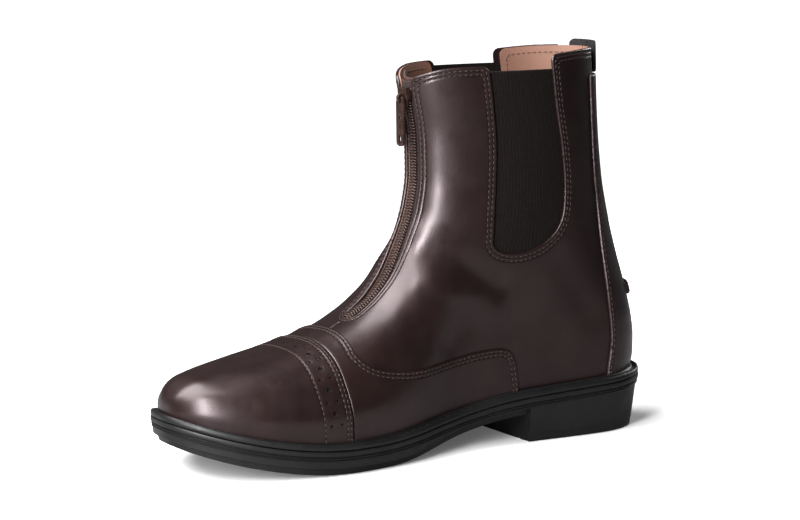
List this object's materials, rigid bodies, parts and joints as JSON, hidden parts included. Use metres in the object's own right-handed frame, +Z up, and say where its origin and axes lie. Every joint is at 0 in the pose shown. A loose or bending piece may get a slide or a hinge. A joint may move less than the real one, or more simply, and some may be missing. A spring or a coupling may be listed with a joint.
{
  "type": "paddock boot",
  "caption": "Front-zip paddock boot in dark brown leather with a brogued toe cap, elastic side panels and a black rubber sole.",
  "frame": {"origin": "on the floor under the middle of the sole's length and width", "axes": "+Z up, -Y towards the toe, +X towards the inner side of the foot"},
  "size_m": [0.1069, 0.285, 0.208],
  "materials": {
    "upper_leather": "smooth full-grain leather with a soft polish",
    "elastic": "matte fine-ribbed elastic",
    "sole_rubber": "semi-matte moulded rubber",
    "lining": "matte tan lining leather",
    "zip_cloth": "woven zip tape",
    "zip_plastic": "dull gloss coil and painted slider"
  },
  "bodies": {
    "boot": {"outsole": "sole_rubber", "welt": "sole_rubber", "insole": "lining", "upper": "upper_leather", "toe_cap": "upper_leather", "vamp": "upper_leather", "backstay": "upper_leather", "back_tab": "elastic", "spur_rest": "upper_leather", "elastic_inner": "elastic", "elastic_outer": "elastic", "zip_tape": "zip_cloth", "zip_guard": "lining", "zip_chain": "zip_plastic", "zip_slider": "zip_plastic"},
    "pull": {"zip_pull": "zip_plastic"}
  },
  "joints": [
    {"name": "pull_swing", "type": "hinge", "parent": "boot", "child": "pull", "pos_m": [0.00727, -0.00349, 0.18192], "axis": [-1, 0, 0], "range_deg": [0, 165]}
  ]
}
